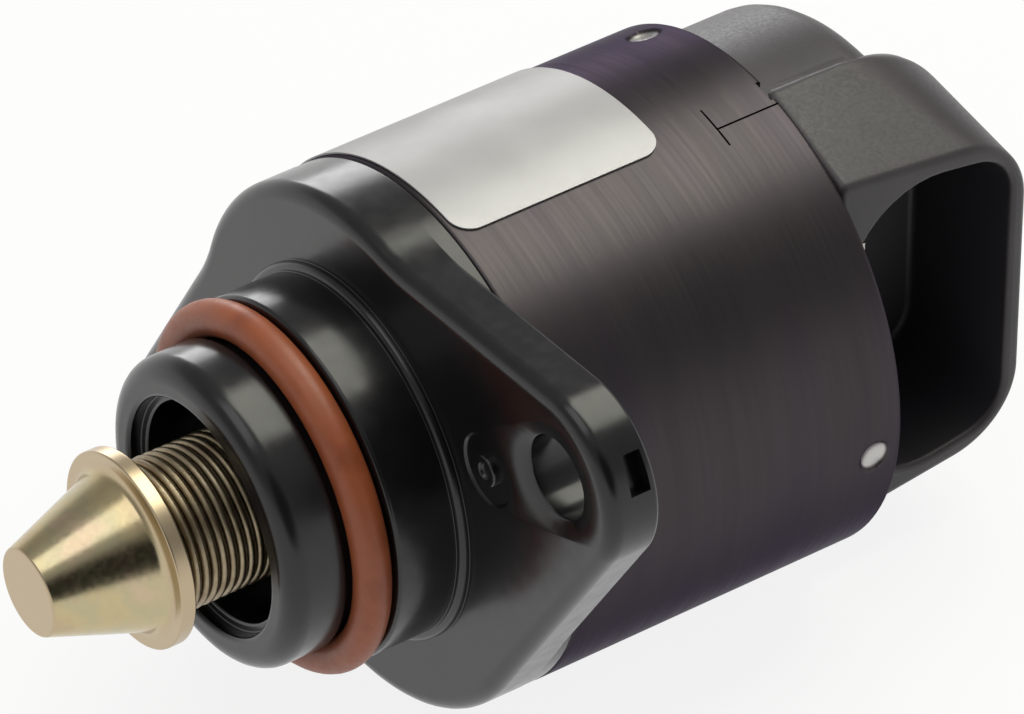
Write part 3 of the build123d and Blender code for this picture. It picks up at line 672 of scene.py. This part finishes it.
def spotted(nodes, links, colour, rough, broad, name, spot_colour, spot_rough):
    """The colour and the roughness, changed to those of the spot where the mark says so. The rim of
    the mark is broken up by the broad noise: share = 2 * mark + noise - 1, between 0 and 1."""
    mark_value = nodes.new("ShaderNodeAttribute")
    mark_value.attribute_name = name
    ragged = nodes.new("ShaderNodeMath")
    ragged.operation = "MULTIPLY_ADD"
    ragged.inputs[1].default_value = 2
    links.new(mark_value.outputs["Fac"], ragged.inputs[0])
    links.new(broad, ragged.inputs[2])
    share = nodes.new("ShaderNodeMath")
    share.operation = "SUBTRACT"
    share.use_clamp = True
    share.inputs[1].default_value = 1
    links.new(ragged.outputs[0], share.inputs[0])
    results = []
    for start, end, kind in ((colour, (*spot_colour, 1), "RGBA"), (rough, spot_rough, "FLOAT")):
        blend = nodes.new("ShaderNodeMix")
        blend.data_type = kind
        sockets = [socket for socket in blend.inputs if socket.enabled]
        links.new(share.outputs[0], sockets[0])
        links.new(start, sockets[1])
        sockets[2].default_value = end
        results.append(next(socket for socket in blend.outputs if socket.enabled))
    return results


# %% One finish
RELIEF = 0.02
BROAD_DETAIL, FINE_DETAIL = 3.0, 2.0
# Noise seldom leaves its middle, so the shades and the roughness are spread over that stretch of it.
SHADE_SPAN, GLOSS_SPAN = (0.33, 0.67), (0.3, 0.7)


def finish(name, shades, gloss, metal, patch, grain, bump, spot=None, edge=WHITE, mirror=0.5):
    """A finish from its shades, which are linear colours spread over the broad noise, its lowest and
    highest roughness, its share of metal, the stretch and density of its patches and of its grain, and
    how strongly the grain bumps. A spot is the name of a mark on the mesh and the colour and roughness
    that the finish has where the mark is 1. The edge is the tint of what a metal mirrors at a flat
    angle, and mirror is how strongly anything else mirrors."""
    material = bpy.data.materials.new(name)
    material.use_nodes = True
    nodes, links = material.node_tree.nodes, material.node_tree.links
    shader = nodes["Principled BSDF"]
    shader.inputs["Metallic"].default_value = metal
    shader.inputs["Specular Tint"].default_value = (*edge, 1)
    shader.inputs["Specular IOR Level"].default_value = mirror
    coordinates = nodes.new("ShaderNodeTexCoord").outputs["Object"]
    broad = noise(nodes, links, coordinates, *patch, BROAD_DETAIL)
    fine_grain = noise(nodes, links, coordinates, *grain, FINE_DETAIL)
    stops = np.linspace(*SHADE_SPAN, len(shades))
    colour = shaded(nodes, links, broad, list(zip(stops, shades)))
    spread = nodes.new("ShaderNodeMapRange")
    spread.inputs["From Min"].default_value = GLOSS_SPAN[0]
    spread.inputs["From Max"].default_value = GLOSS_SPAN[1]
    spread.inputs["To Min"].default_value = gloss[0]
    spread.inputs["To Max"].default_value = gloss[1]
    links.new(fine_grain, spread.inputs["Value"])
    rough = spread.outputs["Result"]
    if spot:
        colour, rough = spotted(nodes, links, colour, rough, broad, *spot)
    links.new(colour, shader.inputs["Base Color"])
    links.new(rough, shader.inputs["Roughness"])
    relief = nodes.new("ShaderNodeBump")
    relief.inputs["Strength"].default_value = bump
    relief.inputs["Distance"].default_value = RELIEF * MM
    links.new(fine_grain, relief.inputs["Height"])
    links.new(relief.outputs["Normal"], shader.inputs["Normal"])
    return material


# %% Finishes of the pieces that show, by the record's slots
finishes = {
    "housing_plastic": finish(
        "gloss_black", [(0.006, 0.006, 0.007), (0.010, 0.009, 0.010)], (0.18, 0.25), 0,
        (EVEN, 180), (EVEN, 900), 0.03,
    ),
    "cover_plastic": finish(
        "satin_black", [(0.030, 0.0255, 0.0285), (0.040, 0.034, 0.038)], (0.38, 0.5), 0,
        # The socket's spot is painted shade: a darker colour on the walls inside the hollow.
        (EVEN, 220), (EVEN, 4500), 0.12, ("painted_socket_shade", (0.026, 0.024, 0.030), 0.5),
    ),
    "seal_rubber": finish(
        "seal_orange", [(0.24, 0.056, 0.018), (0.31, 0.078, 0.026), (0.28, 0.074, 0.028)], (0.4, 0.5), 0,
        (EVEN, 300), (EVEN, 2500), 0.1,
    ),
    "pintle_plate": finish(
        "yellow_zinc", [(0.52, 0.41, 0.25), (0.56, 0.46, 0.26), (0.50, 0.44, 0.27), (0.57, 0.45, 0.30)],
        (0.17, 0.26), 1, (EVEN, 260), (EVEN, 2600), 0.05, ("blush", (0.52, 0.415, 0.275), 0.3),
    ),
    "spring_steel": finish(
        "oiled_wire", [(0.26, 0.20, 0.125), (0.36, 0.30, 0.20), (0.30, 0.23, 0.15)], (0.34, 0.46), 1,
        (EVEN, 500), (EVEN, 3500), 0.1,
    ),
    "can_steel": finish(
        "dull_can", [(0.055, 0.049, 0.053), (0.061, 0.054, 0.057), (0.057, 0.050, 0.057)], (0.34, 0.42), 1,
        (BANDS, 300), (LINES, 4000), 0.05, ("rubbed", (0.5, 0.49, 0.47), 0.32), (0.44, 0.42, 0.48),
    ),
    "label_film": finish(
        "silver_film", [(0.45, 0.445, 0.45), (0.51, 0.505, 0.51)], (0.38, 0.46), 0.38,
        (EVEN, 160), (EVEN, 5000), 0.03, edge=(0.15, 0.15, 0.15), mirror=0.1,
    ),
    "terminal_tin": finish(
        "tinned_brass", [(0.5, 0.48, 0.43), (0.6, 0.58, 0.52)], (0.25, 0.4), 1, (EVEN, 400), (EVEN, 4000), 0.08
    ),
}
print("finishes that show", len(finishes))

# %% Finishes of the pieces inside
finishes |= {
    "bright_steel": finish(
        "turned_steel", [(0.5, 0.5, 0.5), (0.6, 0.6, 0.6)], (0.22, 0.36), 1, (EVEN, 300), (RINGS, 5000), 0.1
    ),
    "bush_bronze": finish(
        "sintered_bronze", [(0.5, 0.32, 0.15), (0.62, 0.43, 0.22)], (0.36, 0.5), 1, (EVEN, 700), (EVEN, 5000), 0.14
    ),
    "bearing_steel": finish(
        "ground_steel", [(0.62, 0.62, 0.63), (0.7, 0.7, 0.71)], (0.1, 0.2), 1, (EVEN, 300), (RINGS, 6000), 0.05
    ),
    "hub_plastic": finish(
        "hub_grey", [(0.07, 0.07, 0.075), (0.11, 0.11, 0.115)], (0.4, 0.55), 0, (EVEN, 260), (EVEN, 4000), 0.1
    ),
    "magnet_ferrite": finish(
        "ferrite", [(0.05, 0.05, 0.055), (0.1, 0.1, 0.105)], (0.5, 0.7), 0, (EVEN, 900), (EVEN, 5000), 0.2
    ),
    "stator_steel": finish(
        "pressed_sheet", [(0.42, 0.42, 0.42), (0.52, 0.52, 0.52)], (0.28, 0.42), 1, (EVEN, 260), (EVEN, 4000), 0.1
    ),
    "bobbin_plastic": finish(
        "bobbin_cream", [(0.62, 0.58, 0.48), (0.7, 0.66, 0.56)], (0.4, 0.55), 0, (EVEN, 260), (EVEN, 4000), 0.1
    ),
    "winding_copper": finish(
        "enamelled_wire", [(0.4, 0.14, 0.05), (0.55, 0.24, 0.1)], (0.22, 0.4), 1, (EVEN, 300), (RINGS, 4000), 0.4
    ),
}
print("finishes", len(finishes))

# %% [markdown]
# ## Dressing the pieces
#
# Each new piece gets its finish and takes the place of its node, and all but the spring ride on the
# body that carries them in the real valve. The spring has one end on the housing and the other on
# the pintle; it only has its place baked into its mesh. The nodes that stay only get a finish.

# %% Dress the new pieces and the nodes that stay
dressed = [
    (housing, "housing_plastic", "front_housing"), (seal, "seal_rubber", "seal_ring"),
    (pintle, "pintle_plate", "pintle"), (can, "can_steel", "can_sleeve"),
    (label, "label_film", "label"), (cover, "cover_plastic", "rear_cover"),
    (spring, "spring_steel", "pintle_spring"),
]
for piece, slot, node in dressed:
    piece.data.materials.clear()
    piece.data.materials.append(finishes[slot])
    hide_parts(node)
for piece in (housing, seal, can, label, cover):
    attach(piece, "housing")
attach(pintle, "pintle")
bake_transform(spring)
replaced = {node for _, _, node in dressed}
for subpart in frame["record"]["subparts"]:
    if subpart["node"] not in replaced:
        mesh = frame["nodes"][subpart["node"]].data
        mesh.materials.clear()
        mesh.materials.append(finishes[subpart["material_slot"]])
print("new pieces", len(dressed), "nodes kept", len(frame["nodes"]) - len(replaced))

# %% [markdown]
# ## Floor, light and camera
#
# The valve lies on a white floor under soft light. The floor is part lit surface and part plain
# white glow, which only direct, mirrored and see-through looks meet, so that it stays white and
# still keeps a pale shadow. A big soft box above draws the broad sheen on the can, a weaker one
# lights the nose and the cone, and a small one behind draws a rim along the top. The sky is brighter
# low down, as a pale room is, and dark behind the camera, which the cone mirrors as a dark streak.
# The camera looks from the photograph's side, far off with a long lens.

# %% Floor
FLOOR_HALF, FLOOR_HEIGHT = 3000.0, -17.6
floor_side = np.array([-FLOOR_HALF, FLOOR_HALF])
floor_points = np.stack(np.broadcast_arrays(floor_side[None, :], floor_side[:, None], FLOOR_HEIGHT), -1)
floor = piece_from_grid("floor", floor_points, wrap_columns=False)
floor.data.flip_normals()
print("floor at", FLOOR_HEIGHT)

# %% Finish of the floor
GLOW_SHARE = 0.86
pale = bpy.data.materials.new("pale_floor")
pale.use_nodes = True
nodes, links = pale.node_tree.nodes, pale.node_tree.links
nodes.clear()
path = nodes.new("ShaderNodeLightPath")
seen = nodes.new("ShaderNodeMath")
seen.operation = "MAXIMUM"
links.new(path.outputs["Is Camera Ray"], seen.inputs[0])
links.new(path.outputs["Is Glossy Ray"], seen.inputs[1])
seen_through = nodes.new("ShaderNodeMath")
seen_through.operation = "MAXIMUM"
links.new(seen.outputs[0], seen_through.inputs[0])
links.new(path.outputs["Is Transmission Ray"], seen_through.inputs[1])
glow_share = nodes.new("ShaderNodeMath")
glow_share.operation = "MULTIPLY"
glow_share.inputs[1].default_value = GLOW_SHARE
links.new(seen_through.outputs[0], glow_share.inputs[0])
lit = nodes.new("ShaderNodeBsdfDiffuse")
lit.inputs["Color"].default_value = (0.9, 0.9, 0.9, 1)
glow = nodes.new("ShaderNodeEmission")
glow.inputs["Color"].default_value = (1, 1, 1, 1)
mix = nodes.new("ShaderNodeMixShader")
links.new(glow_share.outputs[0], mix.inputs["Fac"])
links.new(lit.outputs[0], mix.inputs[1])
links.new(glow.outputs[0], mix.inputs[2])
links.new(mix.outputs[0], nodes.new("ShaderNodeOutputMaterial").inputs["Surface"])
floor.data.materials.append(pale)
print("floor nodes", len(nodes))

# %% Lamps
WARM = (1, 0.995, 0.865)


def soft_box(name, place, aim, size, watts, tint=WHITE):
    """A square area lamp at a place in mm that looks at an aim point."""
    lamp = bpy.data.lights.new(name, "AREA")
    lamp.color = tint
    lamp.size = size * MM
    lamp.energy = watts
    holder = bpy.data.objects.new(name, lamp)
    holder.location = Vector(place) * MM
    holder.rotation_euler = (Vector(aim) - Vector(place)).to_track_quat("-Z", "Y").to_euler()
    holder.visible_camera = False
    bpy.context.scene.collection.objects.link(holder)
    return holder


boxes = [
    soft_box("top_box", (209, 56, 406), (10, 0, 0), 335, 1.3, WARM),
    soft_box("nose_box", (-155, 27, 389), (-10, 0, 0), 260, 0.28),
    soft_box("back_box", (230, 430, 75), (15, 0, 0), 170, 0.32),
]
print("lamps", [box.name for box in boxes])

# %% Sky
DARK_SIDE = (-0.28, -0.862, 0.423)
world = bpy.data.worlds.new("studio")
world.use_nodes = True
bpy.context.scene.world = world
nodes, links = world.node_tree.nodes, world.node_tree.links
direction = nodes.new("ShaderNodeTexCoord")
parts = nodes.new("ShaderNodeSeparateXYZ")
links.new(direction.outputs["Generated"], parts.inputs["Vector"])
front = nodes.new("ShaderNodeVectorMath")
front.operation = "DOT_PRODUCT"
front.inputs[1].default_value = DARK_SIDE
links.new(direction.outputs["Generated"], front.inputs[0])


def levels(source, stops):
    """A grey level that follows one part of the direction, from stops of (part, level)."""
    return shaded(nodes, links, source, [(stop, (level, level, level)) for stop, level in stops])


by_height = levels(parts.outputs["Z"], [(0.0, 0.9), (0.12, 0.85), (0.34, 0.4), (0.6, 0.32), (1.0, 0.45)])
by_side = levels(front.outputs["Value"], [(0.0, 1.0), (0.84, 1.0), (0.95, 0.08)])
walls = nodes.new("ShaderNodeMath")
walls.operation = "MULTIPLY"
links.new(by_height, walls.inputs[0])
links.new(by_side, walls.inputs[1])
links.new(walls.outputs[0], nodes["Background"].inputs["Color"])
print("sky nodes", len(nodes))

# %% Camera
SENSOR, FOCAL = 36, 316.4
CAMERA_PLACE, CAMERA_AIM = (-236.32, -356.99, 352.14), (10.03, -2.58, 4.47)
lens = bpy.data.cameras.new("camera")
lens.sensor_width, lens.lens = SENSOR, FOCAL
lens.clip_start, lens.clip_end = 0.01, 20
camera = bpy.data.objects.new("camera", lens)
camera.location = Vector(CAMERA_PLACE) * MM
camera.rotation_euler = (Vector(CAMERA_AIM) - Vector(CAMERA_PLACE)).to_track_quat("-Z", "Y").to_euler()
bpy.context.scene.collection.objects.link(camera)
bpy.context.scene.camera = camera
bpy.context.scene.view_settings.view_transform = "Standard"
print("camera at", CAMERA_PLACE, "lens", FOCAL)
